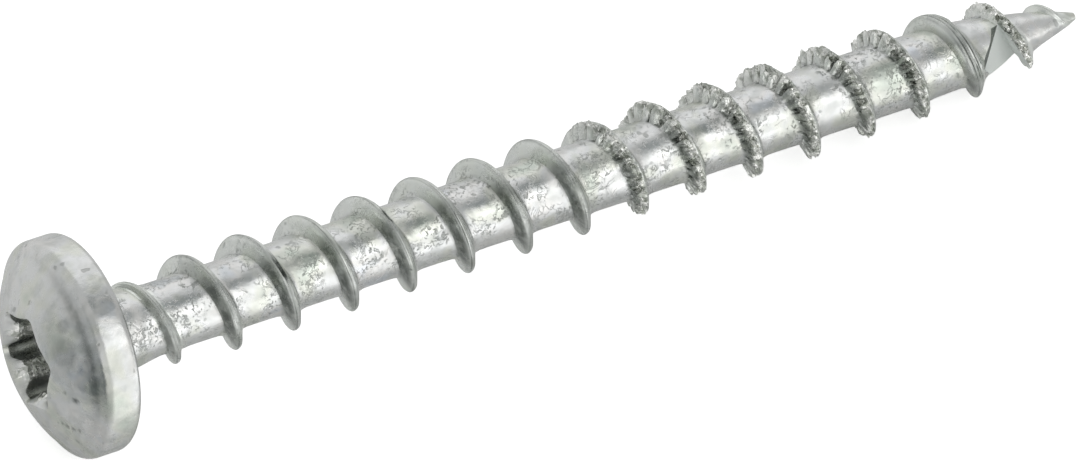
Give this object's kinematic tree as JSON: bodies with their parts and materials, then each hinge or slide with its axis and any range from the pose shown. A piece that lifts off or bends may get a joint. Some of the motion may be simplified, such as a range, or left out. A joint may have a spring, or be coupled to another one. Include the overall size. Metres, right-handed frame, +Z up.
{
  "type": "multi-purpose wood screw",
  "caption": "Pan-head multi-purpose wood screw with a six-lobe drive recess, a full-length thread with toothed turns and a cutting point, bright zinc plated.",
  "frame": {"origin": "middle of the head's bearing face, on the screw's own axis", "axes": "+X along the screw towards its point, +Z up, as the screw lies at rest on the rim of its head and one turn of its thread"},
  "size_m": [0.0533, 0.01, 0.0101],
  "materials": {
    "zinc_plated_steel": "hardened carbon steel, bright zinc plated, satin, with dull scuffs and pits"
  },
  "bodies": {
    "root": {"screw": "zinc_plated_steel"}
  },
  "joints": []
}
